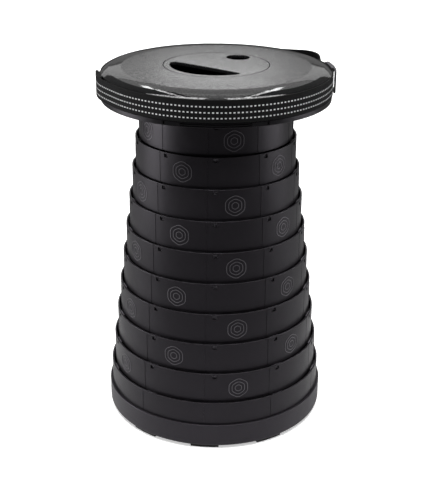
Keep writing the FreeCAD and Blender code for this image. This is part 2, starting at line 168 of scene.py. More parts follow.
def start_piece(name):
    """Names the primitive that was just added and leaves it in edit mode."""
    piece = bpy.context.object
    piece.name = name
    piece.data.name = name
    bpy.ops.object.mode_set(mode="EDIT")
    return piece


def settle(piece):
    """Leaves edit mode and puts the object's place into its mesh."""
    bpy.ops.object.mode_set(mode="OBJECT")
    select_only(piece)
    bpy.ops.object.transform_apply(location=True, rotation=True, scale=True)


def apply_modifiers(piece):
    select_only(piece)
    for modifier in list(piece.modifiers):
        bpy.ops.object.modifier_apply(modifier=modifier.name)


def dress(piece, body, material):
    """Gives a finished piece its material, in a material slot, and its body."""
    piece.data.materials.clear()
    piece.data.materials.append(material)
    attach(piece, body)


def paint_node(name, material):
    """Gives a carried-over node a finished material."""
    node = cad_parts[name]
    for slot in node.material_slots:
        slot.material = material


# Helpers for node trees. A value is a number, a colour or the socket that it comes from.

FLOAT = "NodeSocketFloat"
VECTOR = "NodeSocketVector"
# A mix node's socket for a mask of 0, its socket for a mask of 1, and its output.
MIX_SOCKETS = {"FLOAT": (2, 3, 0), "VECTOR": (4, 5, 1), "RGBA": (6, 7, 2)}


def feed(tree, value, target):
    """Gives a socket its value."""
    if isinstance(value, bpy.types.NodeSocket):
        tree.links.new(value, target)
    elif isinstance(value, (int, float)):
        target.default_value = value
    else:
        target.default_value = (*value, 1.0)


def maths(tree, operation, *values):
    node = tree.nodes.new("ShaderNodeMath")
    node.operation = operation
    for value, target in zip(values, node.inputs):
        feed(tree, value, target)
    return node.outputs[0]


def split(tree, vector):
    """The X, Y and Z of a vector."""
    node = tree.nodes.new("ShaderNodeSeparateXYZ")
    tree.links.new(vector, node.inputs["Vector"])
    return node.outputs


def axis_distance(tree, parts):
    """The distance from the Z axis, from a vector's parts."""
    across = maths(tree, "MULTIPLY", parts["X"], parts["X"])
    return maths(tree, "SQRT", maths(tree, "MULTIPLY_ADD", parts["Y"], parts["Y"], across))


def noise(tree, vector, scale, detail=2.0, roughness=0.5):
    node = tree.nodes.new("ShaderNodeTexNoise")
    tree.links.new(vector, node.inputs["Vector"])
    feed(tree, scale, node.inputs["Scale"])
    node.inputs["Detail"].default_value = detail
    node.inputs["Roughness"].default_value = roughness
    return node.outputs["Fac"]


def smooth_step(tree, value, low, high, to_low=0.0, to_high=1.0):
    node = tree.nodes.new("ShaderNodeMapRange")
    node.interpolation_type = "SMOOTHSTEP"
    tree.links.new(value, node.inputs["Value"])
    feed(tree, low, node.inputs["From Min"])
    feed(tree, high, node.inputs["From Max"])
    feed(tree, to_low, node.inputs["To Min"])
    feed(tree, to_high, node.inputs["To Max"])
    return node.outputs["Result"]


def bump(tree, height, strength, distance):
    """The surface's normal, bent by a height."""
    node = tree.nodes.new("ShaderNodeBump")
    node.inputs["Distance"].default_value = distance
    feed(tree, strength, node.inputs["Strength"])
    tree.links.new(height, node.inputs["Height"])
    return node.outputs["Normal"]


def mix(tree, mask, first, second, kind="RGBA"):
    """The first value where the mask is 0 and the second where it is 1."""
    node = tree.nodes.new("ShaderNodeMix")
    node.data_type = kind
    at_zero, at_one, result = MIX_SOCKETS[kind]
    tree.links.new(mask, node.inputs["Factor"])
    feed(tree, first, node.inputs[at_zero])
    feed(tree, second, node.inputs[at_one])
    return node.outputs[result]


def times(colour, factor):
    return tuple(min(1.0, part * factor) for part in colour)


# Shared effects


def new_group(name, numbers, outputs):
    """A node group with its two end nodes. It takes a vector, and numbers with their defaults."""
    tree = bpy.data.node_groups.new(name, "ShaderNodeTree")
    tree.interface.new_socket(name="Vector", in_out="INPUT", socket_type=VECTOR)
    for label, default in numbers.items():
        made = tree.interface.new_socket(name=label, in_out="INPUT", socket_type=FLOAT)
        made.default_value = default
    for label, kind in outputs.items():
        tree.interface.new_socket(name=label, in_out="OUTPUT", socket_type=kind)
    return tree, tree.nodes.new("NodeGroupInput"), tree.nodes.new("NodeGroupOutput")


def plastic_grain_group():
    """Fine spark-eroded grain, slow tone changes and handling scuffs of moulded plastic."""
    tree, start, end = new_group(
        "Plastic Grain",
        {"Grain Scale": 1400.0, "Grain Depth": 0.25},
        {"Normal": VECTOR, "Tone": FLOAT, "Speck": FLOAT, "Scuff": FLOAT},
    )
    vector = start.outputs["Vector"]
    scale = start.outputs["Grain Scale"]
    grain = noise(tree, vector, scale, 3.0, 0.6)
    tree.links.new(bump(tree, grain, start.outputs["Grain Depth"], 0.0002), end.inputs["Normal"])
    slow = maths(tree, "MULTIPLY", noise(tree, vector, 22.0, 3.0, 0.55), 0.55)
    tone = maths(tree, "MULTIPLY_ADD", grain, 0.45, slow)
    tree.links.new(smooth_step(tree, tone, 0.36, 0.64), end.inputs["Tone"])
    speck = noise(tree, vector, maths(tree, "MULTIPLY", scale, 0.7), 1.0, 0.5)
    tree.links.new(smooth_step(tree, speck, 0.35, 0.65), end.inputs["Speck"])
    stretch = tree.nodes.new("ShaderNodeMapping")
    stretch.inputs["Scale"].default_value = (1.0, 1.0, 0.16)
    tree.links.new(vector, stretch.inputs["Vector"])
    marks = smooth_step(tree, noise(tree, stretch.outputs["Vector"], 260.0, 4.0, 0.65), 0.60, 0.78)
    patches = smooth_step(tree, noise(tree, vector, 14.0, 2.0, 0.5), 0.5, 0.72)
    tree.links.new(maths(tree, "MULTIPLY", marks, patches), end.inputs["Scuff"])
    return tree


def rim_wear_and_highlight_group():
    """A mask that is 1 along the rims, which repeat up the stool at one pitch. Its band is painted
    lighter, partly for rub marks and partly as a painted highlight along each rim.
    """
    tree, start, end = new_group(
        "Rim Wear And Highlight",
        {"First Rim": FIRST_RIM_Z, "Pitch": RING_PITCH, "Width": 0.0009},
        {"Mask": FLOAT},
    )
    parts = split(tree, start.outputs["Vector"])
    below = maths(tree, "SUBTRACT", start.outputs["First Rim"], parts["Z"])
    along = maths(tree, "FLOORED_MODULO", maths(tree, "ADD", below, RIM_MARGIN), start.outputs["Pitch"])
    near = smooth_step(tree, along, start.outputs["Width"], 0.0002)
    marks = noise(tree, start.outputs["Vector"], 130.0, 4.0, 0.6)
    broken = smooth_step(tree, marks, 0.38, 0.62, 0.35, 1.0)
    tree.links.new(maths(tree, "MULTIPLY", near, broken), end.inputs["Mask"])
    return tree


def lug_painted_light_group():
    """A mask on the outer faces of the lock lugs, which show through the windows of the next ring. These
    faces are painted lighter as painted light, standing in for their lit faces.
    """
    tree, start, end = new_group(
        "Lug Painted Light",
        {
            "First Rim": FIRST_RIM_Z, "Pitch": RING_PITCH,
            "Widest": LARGEST_RING_RADIUS, "Step": RADIUS_STEP,
        },
        {"Mask": FLOAT},
    )
    parts = split(tree, start.outputs["Vector"])
    below = maths(tree, "SUBTRACT", start.outputs["First Rim"], parts["Z"])
    pitches = maths(tree, "DIVIDE", maths(tree, "SUBTRACT", below, RIM_MARGIN), start.outputs["Pitch"])
    rings = maths(tree, "FLOOR", pitches)
    outside = maths(tree, "MULTIPLY_ADD", rings, start.outputs["Step"], start.outputs["Widest"])
    depth = maths(tree, "SUBTRACT", outside, axis_distance(tree, parts))
    away = maths(tree, "ABSOLUTE", maths(tree, "SUBTRACT", depth, LUG_FACE_DEPTH))
    near = smooth_step(tree, away, 0.0003, 0.00015)
    grain = noise(tree, start.outputs["Vector"], 900.0, 3.0, 0.6)
    marks = smooth_step(tree, grain, 0.3, 0.6, 0.7, 1.0)
    tree.links.new(maths(tree, "MULTIPLY", near, marks), end.inputs["Mask"])
    return tree


def round_zone_group():
    """A mask that is 0 inside a radius about the Z axis and 1 outside it."""
    tree, start, end = new_group("Round Zone", {"Radius": 0.1, "Softness": 0.0005}, {"Mask": FLOAT})
    distance = axis_distance(tree, split(tree, start.outputs["Vector"]))
    outer = maths(tree, "ADD", start.outputs["Radius"], start.outputs["Softness"])
    tree.links.new(smooth_step(tree, distance, start.outputs["Radius"], outer), end.inputs["Mask"])
    return tree


def webbing_group():
    """Woven ribs and rows of a flat webbing, from coordinates in metres along and across it. Its Shade
    output is partly random fuzz and partly painted shade: low in the grooves and high on the ribs.
    """
    tree, start, end = new_group(
        "Webbing Weave",
        {"Rib Pitch": 0.0013, "Row Pitch": 0.0010},
        {"Height": FLOAT, "Shade": FLOAT},
    )
    parts = split(tree, start.outputs["Vector"])
    row = maths(tree, "DIVIDE", parts["Y"], start.outputs["Row Pitch"])
    offset = maths(tree, "MULTIPLY", maths(tree, "FLOOR", row), 0.5)
    rib = maths(tree, "ADD", maths(tree, "DIVIDE", parts["X"], start.outputs["Rib Pitch"]), offset)
    rib_wave = maths(tree, "ABSOLUTE", maths(tree, "SINE", maths(tree, "MULTIPLY", rib, math.pi)))
    row_wave = maths(tree, "ABSOLUTE", maths(tree, "SINE", maths(tree, "MULTIPLY", row, math.pi)))
    rib_wave = maths(tree, "POWER", rib_wave, 0.6)
    row_wave = maths(tree, "POWER", row_wave, 0.5)
    height = maths(tree, "MULTIPLY", rib_wave, row_wave)
    tree.links.new(height, end.inputs["Height"])
    fuzz = noise(tree, start.outputs["Vector"], 1800.0, 3.0, 0.6)
    tree.links.new(maths(tree, "MULTIPLY", height, fuzz), end.inputs["Shade"])
    return tree


def dash_rows_group():
    """Silver dashes in three rows along the webbing. Filled is a dash's share of its pitch."""
    rows = {"Row 1": 0.0047, "Row 2": 0.0104, "Row 3": 0.0163}
    tree, start, end = new_group(
        "Dash Rows",
        {"Pitch": 0.00417, "Filled": 0.46, "Half Width": 0.0006, **rows},
        {"Mask": FLOAT},
    )
    parts = split(tree, start.outputs["Vector"])
    phase = maths(tree, "FRACT", maths(tree, "DIVIDE", parts["X"], start.outputs["Pitch"]))
    edge = maths(tree, "ABSOLUTE", maths(tree, "SUBTRACT", phase, 0.5))
    half = maths(tree, "MULTIPLY", start.outputs["Filled"], 0.5)
    along = smooth_step(tree, edge, maths(tree, "ADD", half, 0.03), maths(tree, "SUBTRACT", half, 0.03))
    wide = maths(tree, "ADD", start.outputs["Half Width"], 0.00015)
    total = 0.0
    for label in rows:
        away = maths(tree, "ABSOLUTE", maths(tree, "SUBTRACT", parts["Y"], start.outputs[label]))
        row = smooth_step(tree, away, wide, start.outputs["Half Width"])
        total = maths(tree, "MAXIMUM", total, row)
    tree.links.new(maths(tree, "MULTIPLY", total, along), end.inputs["Mask"])
    return tree


GROUP_MAKERS = {
    "Plastic Grain": plastic_grain_group,
    "Rim Wear And Highlight": rim_wear_and_highlight_group,
    "Lug Painted Light": lug_painted_light_group,
    "Round Zone": round_zone_group,
    "Webbing Weave": webbing_group,
    "Dash Rows": dash_rows_group,
}


def use_group(tree, name, vector, **values):
    """Places a shared group, made the first time it is asked for, and returns its outputs."""
    group = bpy.data.node_groups.get(name) or GROUP_MAKERS[name]()
    node = tree.nodes.new("ShaderNodeGroup")
    node.node_tree = group
    tree.links.new(vector, node.inputs["Vector"])
    for label, value in values.items():
        node.inputs[label.replace("_", " ").title()].default_value = value
    return node.outputs


# Materials

# How much the tone moves a moulded colour and its roughness,
# how many times lighter its scuffs are, and how many times lighter the lugs' painted light is.
TONE_SPREAD = 0.25
ROUGHNESS_SPREAD = 0.05
SCUFF_LIGHTER = 1.9
LUG_PAINTED_LIGHT = 11.0
# Roughness of the seat's satin dome and of its glossy edge, from least to most.
SATIN_ROUGHNESS = (0.15, 0.21)
GLOSS_ROUGHNESS = (0.05, 0.12)
# The black plastic's reflections lean a little to violet.
VIOLET_TINT = (1.0, 0.92, 1.06, 1.0)


def new_material(name):
    """A material with its tree, its shader and the texture coordinates."""
    material = bpy.data.materials.new(name)
    material.use_nodes = True
    tree = material.node_tree
    shader = tree.nodes["Principled BSDF"]
    return material, tree, shader, tree.nodes.new("ShaderNodeTexCoord").outputs


def roughen(tree, shader, mask, low, high):
    """Takes the shader's roughness from one value to another with a mask."""
    tree.links.new(smooth_step(tree, mask, 0.0, 1.0, low, high), shader.inputs["Roughness"])


def moulded_plastic(name, colour, roughness, specular, grain_depth=0.2, rub_and_highlight=None):
    """Moulded plastic with a fine grain. The rim colour, when given, paints the rims lighter, partly for
    rub marks and partly as a painted highlight, and made lighter again it paints the lugs' painted
    light.
    """
    material, tree, shader, coordinates = new_material(name)
    vector = coordinates["Object"]
    grain = use_group(tree, "Plastic Grain", vector, grain_depth=grain_depth)
    body = mix(tree, grain["Tone"], times(colour, 1 - TONE_SPREAD), times(colour, 1 + TONE_SPREAD))
    body = mix(tree, grain["Scuff"], body, times(colour, SCUFF_LIGHTER))
    if rub_and_highlight:
        # Rims painted lighter: partly rub marks, partly a painted highlight along each rim.
        rim_wear_and_highlight = use_group(tree, "Rim Wear And Highlight", vector)
        body = mix(tree, rim_wear_and_highlight["Mask"], body, rub_and_highlight)
        # Painted light: the lug faces seen through the windows are painted lighter in place of their lit
        # faces.
        lugs = use_group(tree, "Lug Painted Light", vector)
        body = mix(tree, lugs["Mask"], body, times(rub_and_highlight, LUG_PAINTED_LIGHT))
    tree.links.new(body, shader.inputs["Base Color"])
    roughen(
        tree, shader, grain["Tone"], roughness - ROUGHNESS_SPREAD, roughness + ROUGHNESS_SPREAD
    )
    tree.links.new(grain["Normal"], shader.inputs["Normal"])
    shader.inputs["Specular IOR Level"].default_value = specular
    shader.inputs["Specular Tint"].default_value = VIOLET_TINT
    return material


def seat_plastic(name, colour):
    """Satin grain over the dome, and a smooth glossy band round the edge."""
    material, tree, shader, coordinates = new_material(name)
    vector = coordinates["Object"]
    grain = use_group(tree, "Plastic Grain", vector, grain_scale=800.0, grain_depth=0.65)
    edge = use_group(tree, "Round Zone", vector, radius=SHOULDER_RADIUS, softness=0.004)["Mask"]
    top = mix(tree, grain["Tone"], times(colour, 0.8), times(colour, 1.25))
    top = mix(tree, grain["Scuff"], top, times(colour, 1.6))
    band = mix(tree, grain["Tone"], times(colour, 0.45), times(colour, 0.5))
    tree.links.new(mix(tree, edge, top, band), shader.inputs["Base Color"])
    satin = smooth_step(tree, grain["Tone"], 0.0, 1.0, *SATIN_ROUGHNESS)
    gloss = smooth_step(tree, grain["Scuff"], 0.0, 1.0, *GLOSS_ROUGHNESS)
    tree.links.new(mix(tree, edge, satin, gloss, "FLOAT"), shader.inputs["Roughness"])
    plain = tree.nodes.new("ShaderNodeNewGeometry").outputs["Normal"]
    tree.links.new(mix(tree, edge, grain["Normal"], plain, "VECTOR"), shader.inputs["Normal"])
    specks = smooth_step(tree, grain["Speck"], 0.0, 1.0, 0.3, 0.7)
    tree.links.new(specks, shader.inputs["Specular IOR Level"])
    return material


def foot_rubber(name):
    """Dull black rubber with pale scuffs."""
    material, tree, shader, coordinates = new_material(name)
    grain = use_group(tree, "Plastic Grain", coordinates["Object"], grain_scale=700.0, grain_depth=0.5)
    body = mix(tree, grain["Tone"], (0.012, 0.012, 0.012), (0.022, 0.022, 0.021))
    body = mix(tree, grain["Scuff"], body, (0.06, 0.058, 0.054))
    tree.links.new(body, shader.inputs["Base Color"])
    roughen(tree, shader, grain["Tone"], 0.7, 0.85)
    tree.links.new(grain["Normal"], shader.inputs["Normal"])
    shader.inputs["Specular IOR Level"].default_value = 0.3
    return material


def screw_steel(name):
    """Plain bright steel, a little uneven."""
    material, tree, shader, coordinates = new_material(name)
    grain = use_group(tree, "Plastic Grain", coordinates["Object"], grain_scale=2600.0, grain_depth=0.12)
    body = mix(tree, grain["Tone"], (0.42, 0.42, 0.43), (0.55, 0.55, 0.56))
    tree.links.new(body, shader.inputs["Base Color"])
    roughen(tree, shader, grain["Tone"], 0.25, 0.42)
    tree.links.new(grain["Normal"], shader.inputs["Normal"])
    shader.inputs["Metallic"].default_value = 1.0
    return material


def strap_webbing(name, colour, dash_pitch):
    """Black woven webbing with three rows of silver dashes, laid out by its own UV map."""
    material, tree, shader, coordinates = new_material(name)
    weave = use_group(tree, "Webbing Weave", coordinates["UV"])
    dashes = use_group(tree, "Dash Rows", coordinates["UV"], pitch=dash_pitch)["Mask"]
    # Painted shade: the cloth and the silver dashes are darker in the weave's grooves and lighter on its
    # ribs.
    cloth = mix(tree, weave["Shade"], times(colour, 0.55), times(colour, 3.2))
    silver = mix(tree, weave["Height"], (0.5, 0.51, 0.52), (0.88, 0.89, 0.9))
    tree.links.new(mix(tree, dashes, cloth, silver), shader.inputs["Base Color"])
    roughen(tree, shader, dashes, 0.72, 0.35)
    tree.links.new(bump(tree, weave["Height"], 0.7, 0.0003), shader.inputs["Normal"])
    shader.inputs["Specular IOR Level"].default_value = 0.14
    shader.inputs["Sheen Weight"].default_value = 0.004
    return material


# Operators


class STOOL_OT_rings(bpy.types.Operator):
    """Finishes the ten rings and the seat's own short ring"""

    bl_idname = "stool.rings"
    bl_label = "Rings"

    def execute(self, context):
        settings = context.scene.stool_rings
        plastic = moulded_plastic(
            "ring_plastic", settings.colour, roughness=0.42, specular=0.33, rub_and_highlight=settings.rub_and_highlight_colour
        )
        for number in RING_NUMBERS:
            paint_node("ring_%d" % number, plastic)
        paint_node("seat_ring", plastic)
        return {"FINISHED"}


class STOOL_OT_figures(bpy.types.Operator):
    """Models the raised figure once and sets five of it round each sliding ring"""

    bl_idname = "stool.figures"
    bl_label = "Raised figures"

    def execute(self, context):
        settings = context.scene.stool_rings
        pattern = self.model_flat_figure(settings)
        plastic = moulded_plastic(
            "figure_plastic", settings.figure_colour, roughness=0.5, specular=0.8, grain_depth=0.1
        )
        for number in SLIDING_RINGS:
            name = "ring_figures_%d" % number
            piece = bpy.data.objects.new(name, self.wrap_figures(name, pattern.data, number))
            context.scene.collection.objects.link(piece)
            dress(piece, "ring_%d" % number, plastic)
        bpy.data.objects.remove(pattern)
        return {"FINISHED"}

    def wrap_figures(self, name, pattern, number):
        """A mesh with the flat pattern bent round a ring, once for each figure."""
        first = FIGURE_AZIMUTH_ODD if number % 2 else FIGURE_AZIMUTH_EVEN
        radius = ring_radius(number)
        height = ring_rim(number) - FIGURE_BELOW_RIM
        mesh = bmesh.new()
        for step in range(FIGURES_PER_RING):
            azimuth = first + 2 * PANEL_ANGLE * step
            copy = bmesh.new()
            copy.from_mesh(pattern)
            for vertex in copy.verts:
                x, y, z = vertex.co
                vertex.co = place(azimuth + math.degrees(x / radius), radius + z, height + y)
            turned = bpy.data.meshes.new("turned")
            copy.to_mesh(turned)
            copy.free()
            mesh.from_mesh(turned)
            bpy.data.meshes.remove(turned)
        data = bpy.data.meshes.new(name)
        mesh.to_mesh(data)
        mesh.free()
        return data

    def model_flat_figure(self, settings):
        """Nested rounded hexagons, drawn flat: X across, Y up and Z out of the ring."""
        outer = settings.figure_height / 2
        loops = []
        for share in FIGURE_LOOPS:
            bpy.ops.object.select_all(action="DESELECT")
            bpy.ops.mesh.primitive_circle_add(vertices=6, radius=outer * share, fill_type="NGON")
            loop = start_piece("figure_loop")
            bpy.ops.mesh.select_all(action="SELECT")
            bpy.ops.mesh.bevel(offset=outer * share * FIGURE_CORNER, segments=4, affect="VERTICES")
            bpy.ops.mesh.select_all(action="SELECT")
            bpy.ops.mesh.inset(thickness=settings.figure_line, depth=0.0)
            bpy.ops.mesh.delete(type="FACE")
            bpy.ops.mesh.select_all(action="SELECT")
            bpy.ops.mesh.subdivide(number_cuts=2)
            bpy.ops.mesh.select_all(action="SELECT")
            bpy.ops.mesh.extrude_region_move(
                TRANSFORM_OT_translate={"value": (0, 0, settings.figure_relief + FIGURE_ROOT)}
            )
            settle(loop)
            loops.append(loop)
        select_only(loops[0])
        for loop in loops[1:]:
            loop.select_set(True)
        bpy.ops.object.join()
        figure = bpy.context.object
        bpy.ops.object.mode_set(mode="EDIT")
        bpy.ops.mesh.select_all(action="SELECT")
        bpy.ops.mesh.normals_make_consistent(inside=False)
        bpy.ops.transform.translate(value=(0, 0, -FIGURE_ROOT))
        settle(figure)
        return figure


class STOOL_OT_base(bpy.types.Operator):
    """Finishes the base cup and its foot pads"""

    bl_idname = "stool.base"
    bl_label = "Base and feet"

    def execute(self, context):
        colour = times(context.scene.stool_rings.colour, 1.5)
        plastic = moulded_plastic("base_plastic", colour, roughness=0.5, specular=0.45, grain_depth=0.3)
        paint_node("base_cup", plastic)
        paint_node("foot_pads", foot_rubber("foot_rubber"))
        return {"FINISHED"}


class STOOL_OT_seat(bpy.types.Operator):
    """Finishes the seat's shell, middle disc, tray and screws"""

    bl_idname = "stool.seat"
    bl_label = "Seat"

    def execute(self, context):
        colour = context.scene.stool_seat.colour
        plastic = seat_plastic("seat_plastic", colour)
        paint_node("seat_shell", plastic)
        paint_node("centre_disc", plastic)
        # Painted shade: the tray's colour is darkened to 0.4 of the seat's to stand in for the shade
        # under the seat.
        darker = moulded_plastic("tray_plastic", times(colour, 0.4), roughness=0.34, specular=0.24)
        paint_node("seat_tray", darker)
        paint_node("seat_screws", screw_steel("screw_steel"))
        return {"FINISHED"}


# The strap's closed line, from the front towards the right and round to the fold at the left:
# azimuth, radius of its middle and how far it hangs below its place at the front.
STRAP_RADIUS = 0.1252
STRAP_LINE = (
    [(azimuth, STRAP_RADIUS, 0) for azimuth in range(-50, 101, 10)]
    + [
        (108, 0.1254, 0.0), (114, 0.1281, 0.0012), (121, 0.1366, 0.0), (126, 0.1426, 0.0),
        (130, 0.1446, 0.0), (134, 0.1428, 0.0), (138, 0.1372, 0.0), (143, 0.1308, 0.0),
        (149, 0.1277, 0.0006), (157, 0.1266, 0.003),
    ]
    + [(azimuth, 0.1264, 0.0054) for azimuth in range(166, 260, 10)]
    + [
        (260, 0.1264, 0.0055), (266, 0.1264, 0.0044), (270, 0.1262, 0.0028), (274, 0.1257, 0.0008),
        (280, 0.1254, 0.0), (285.9, 0.1254, 0.0), (286.2, 0.12568, 0.0), (286.3, 0.12625, 0.0),
        (286.2, 0.12682, 0.0), (285.9, 0.1271, 0.0), (280, 0.12715, 0.0), (272.8, 0.12715, 0.0),
        (272.5, 0.12743, 0.0), (272.4, 0.128, 0.0), (272.5, 0.12857, 0.0), (272.8, 0.12885, 0.0),
        (280, 0.12895, 0.0), (286, 0.1288, 0.0), (291, 0.1278, 0.0), (296, 0.1264, 0.0),
        (301, 0.12545, 0.0),
    ]
)
# Heights of the mesh's rows above the strap's lower edge, closer together near both edges.
STRAP_ROWS = (0.0, 0.0008, 0.0025, 0.006, 0.0115, 0.017, 0.0205, 0.0222, STRAP_TOP_Z - STRAP_BOTTOM_Z)
STRAP_SOFT_EDGE = 0.0006


class STOOL_OT_strap(bpy.types.Operator):
    """Makes the woven carrying strap round the seat's skirt"""

    bl_idname = "stool.strap"
    bl_label = "Strap"

    def execute(self, context):
        settings = context.scene.stool_strap
        data, along = self.strap_mesh("carry_strap_webbing", self.strap_line())
        piece = bpy.data.objects.new("carry_strap_webbing", data)
        context.scene.collection.objects.link(piece)
        wall = piece.modifiers.new("Webbing thickness", "SOLIDIFY")
        wall.thickness = settings.thickness
        wall.offset = 0
        soft = piece.modifiers.new("Soft edge", "BEVEL")
        soft.width = STRAP_SOFT_EDGE
        soft.segments = 3
        soft.limit_method = "ANGLE"
        apply_modifiers(piece)
        bpy.ops.object.shade_smooth_by_angle(angle=math.radians(50))
        webbing = strap_webbing("strap_webbing", settings.colour, settings.dash_pitch)
        dress(piece, "seat", webbing)
        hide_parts("carry_strap")
        return {"FINISHED"}

    def strap_line(self):
        """Points along the strap's middle, read from a smooth closed curve through its stations."""
        curve = bpy.data.curves.new("strap_path", "CURVE")
        curve.dimensions = "3D"
        curve.resolution_u = 12
        spline = curve.splines.new("BEZIER")
        spline.bezier_points.add(len(STRAP_LINE) - 1)
        for knot, (azimuth, radius, drop) in zip(spline.bezier_points, STRAP_LINE):
            knot.co = place(azimuth, radius, -drop)
            knot.handle_left_type = "AUTO"
            knot.handle_right_type = "AUTO"
        spline.use_cyclic_u = True
        holder = bpy.data.objects.new("strap_path", curve)
        bpy.context.scene.collection.objects.link(holder)
        bpy.context.view_layer.update()
        mesh = bpy.data.meshes.new_from_object(holder)
        points = [vertex.co.copy() for vertex in mesh.vertices]
        bpy.data.objects.remove(holder)
        bpy.data.meshes.remove(mesh)
        return points + [points[0]]

    def strap_mesh(self, name, line):
        """An upright band along a closed line, with a UV map in metres, and its length."""
        mesh = bmesh.new()
        uv = mesh.loops.layers.uv.new("UVMap")
        rows = []
        for point in line[:-1]:
            low = STRAP_BOTTOM_Z + point.z
            rows.append([mesh.verts.new((point.x, point.y, low + across)) for across in STRAP_ROWS])
        rows.append(rows[0])
        along = 0.0
        for index in range(len(line) - 1):
            reach = along + (line[index + 1] - line[index]).length
            here, there = rows[index], rows[index + 1]
            for k in range(len(STRAP_ROWS) - 1):
                low, high = STRAP_ROWS[k], STRAP_ROWS[k + 1]
                face = mesh.faces.new((here[k], there[k], there[k + 1], here[k + 1]))
                face.smooth = True
                spots = ((along, low), (reach, low), (reach, high), (along, high))
                for loop, spot in zip(face.loops, spots):
                    loop[uv].uv = spot
            along = reach
        data = bpy.data.meshes.new(name)
        mesh.to_mesh(data)
        mesh.free()
        return data, along


# The slider's edges are rounded by this much, once the points closer than the gap are merged.
SLIDER_SOFT_EDGE = 0.0004
SLIDER_MERGE_GAP = 0.00001


class STOOL_OT_slider(bpy.types.Operator):
    """Finishes the plastic slider that sets the strap's length, with softened edges"""

    bl_idname = "stool.slider"
    bl_label = "Strap slider"

    def execute(self, context):
        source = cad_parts["strap_slider"]
        piece = source.copy()
        piece.data = source.data.copy()
        piece.name = "strap_slider_buckle"
        piece.data.name = "strap_slider_buckle"
        piece.parent = None
        piece.matrix_world = source.matrix_world
        context.scene.collection.objects.link(piece)
        select_only(piece)
        bpy.ops.object.transform_apply(location=True, rotation=True, scale=True)
        bpy.ops.object.mode_set(mode="EDIT")
        bpy.ops.mesh.select_all(action="SELECT")
        bpy.ops.mesh.remove_doubles(threshold=SLIDER_MERGE_GAP)
        bpy.ops.mesh.dissolve_limited(angle_limit=math.radians(1))
        bpy.ops.mesh.normals_make_consistent(inside=False)
        bpy.ops.object.mode_set(mode="OBJECT")
        soft = piece.modifiers.new("Soft edge", "BEVEL")
        soft.width = SLIDER_SOFT_EDGE
        soft.segments = 2
        soft.limit_method = "ANGLE"
        soft.angle_limit = math.radians(40)
        apply_modifiers(piece)
        bpy.ops.object.shade_smooth_by_angle(angle=math.radians(35))
        colour = context.scene.stool_seat.slider_colour
        plastic = moulded_plastic("slider_plastic", colour, roughness=0.48, specular=0.4)
        dress(piece, "seat", plastic)
        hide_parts("strap_slider")
        return {"FINISHED"}


# Soft lights: name, place, the point each faces, width, height, watts and spread in degrees.
# The tubes overhead and the strips on the wall draw the bright streaks on the seat's shoulder.
# The wall panels draw the dome's grey sheen, and the low softboxes light the rings' sides.
LIGHTS = (
    ("Left tube", (-0.425, 1.75, 2.0), (-0.425, 1.75, 0), 0.08, 2.9, 3.4, 180),
    ("Right tube", (0.372, 1.75, 2.0), (0.372, 1.75, 0), 0.08, 2.9, 3.4, 180),
    ("Left strip", (-0.39, 2.58, 1.63), (-0.39, 0, 1.63), 0.05, 0.18, 0.14, 180),
    ("Right strip", (0.34, 2.58, 1.63), (0.34, 0, 1.63), 0.05, 0.18, 0.14, 180),
    ("Ceiling", (0, 1.3, 2.02), (0, 1.3, 0), 0.6, 2.6, 5.0, 180),
    ("Left key", (-0.85, 0.35, 2.3), (-0.1, 0.15, 0), 0.7, 1.4, 8.0, 110),
    ("Right key", (0.85, 0.35, 2.3), (0.1, 0.15, 0), 0.7, 1.4, 9.0, 110),
    ("Floor light", (0, 2.5, 2.6), (0, 2.5, 0), 3.0, 1.8, 14.5, 64),
    ("Wall low", (0, 2.6, 0.78), (0, 0, 0.78), 2.6, 0.3, 0.4, 180),
    ("Wall middle", (0, 2.6, 1.15), (0, 0, 1.15), 2.6, 0.36, 2.15, 180),
    ("Wall centre", (0, 2.58, 1.18), (0, 0, 1.18), 0.46, 0.3, 0.85, 180),
    ("Wall high", (0, 2.6, 1.7), (0, 0, 1.7), 1.3, 0.7, 1.2, 180),
    ("Front key", (0, -1.1, 2.3), (0, -0.1, 0), 1.6, 0.8, 14, 90),
    ("Left softbox", (-2.0, 0, 0.19), (0, 0, 0.19), 1.0, 0.34, 24, 180),
    ("Right softbox", (2.0, 0, 0.19), (0, 0, 0.19), 1.0, 0.34, 13.5, 180),
)

# The floor's greys. The camera sees it nearly white. Reflections and bounced light meet a darker one,
# painted with a pool of light round the stool that fades to painted shade farther away, as an unlit
# room's floor would.
FLOOR_SIZE = 40
FLOOR_SEEN = (0.96, 0.98)
FLOOR_NEAR = 0.72
FLOOR_AROUND = 0.33
FLOOR_FAR = 0.08
# Light that only the camera meets, so that no shade shows round the feet or behind the floor.
FLOOR_GLOW = 0.5
BACKDROP_GLOW = 0.6

# The photo's camera, fitted to the rims of the rings: metres, and degrees down, right and tilted.
CAMERA_PLACE = (0, -1.1524, 0.6771)
CAMERA_PITCH = 22.713
CAMERA_YAW = 0.322
CAMERA_ROLL = -0.445
SENSOR_WIDTH = 36


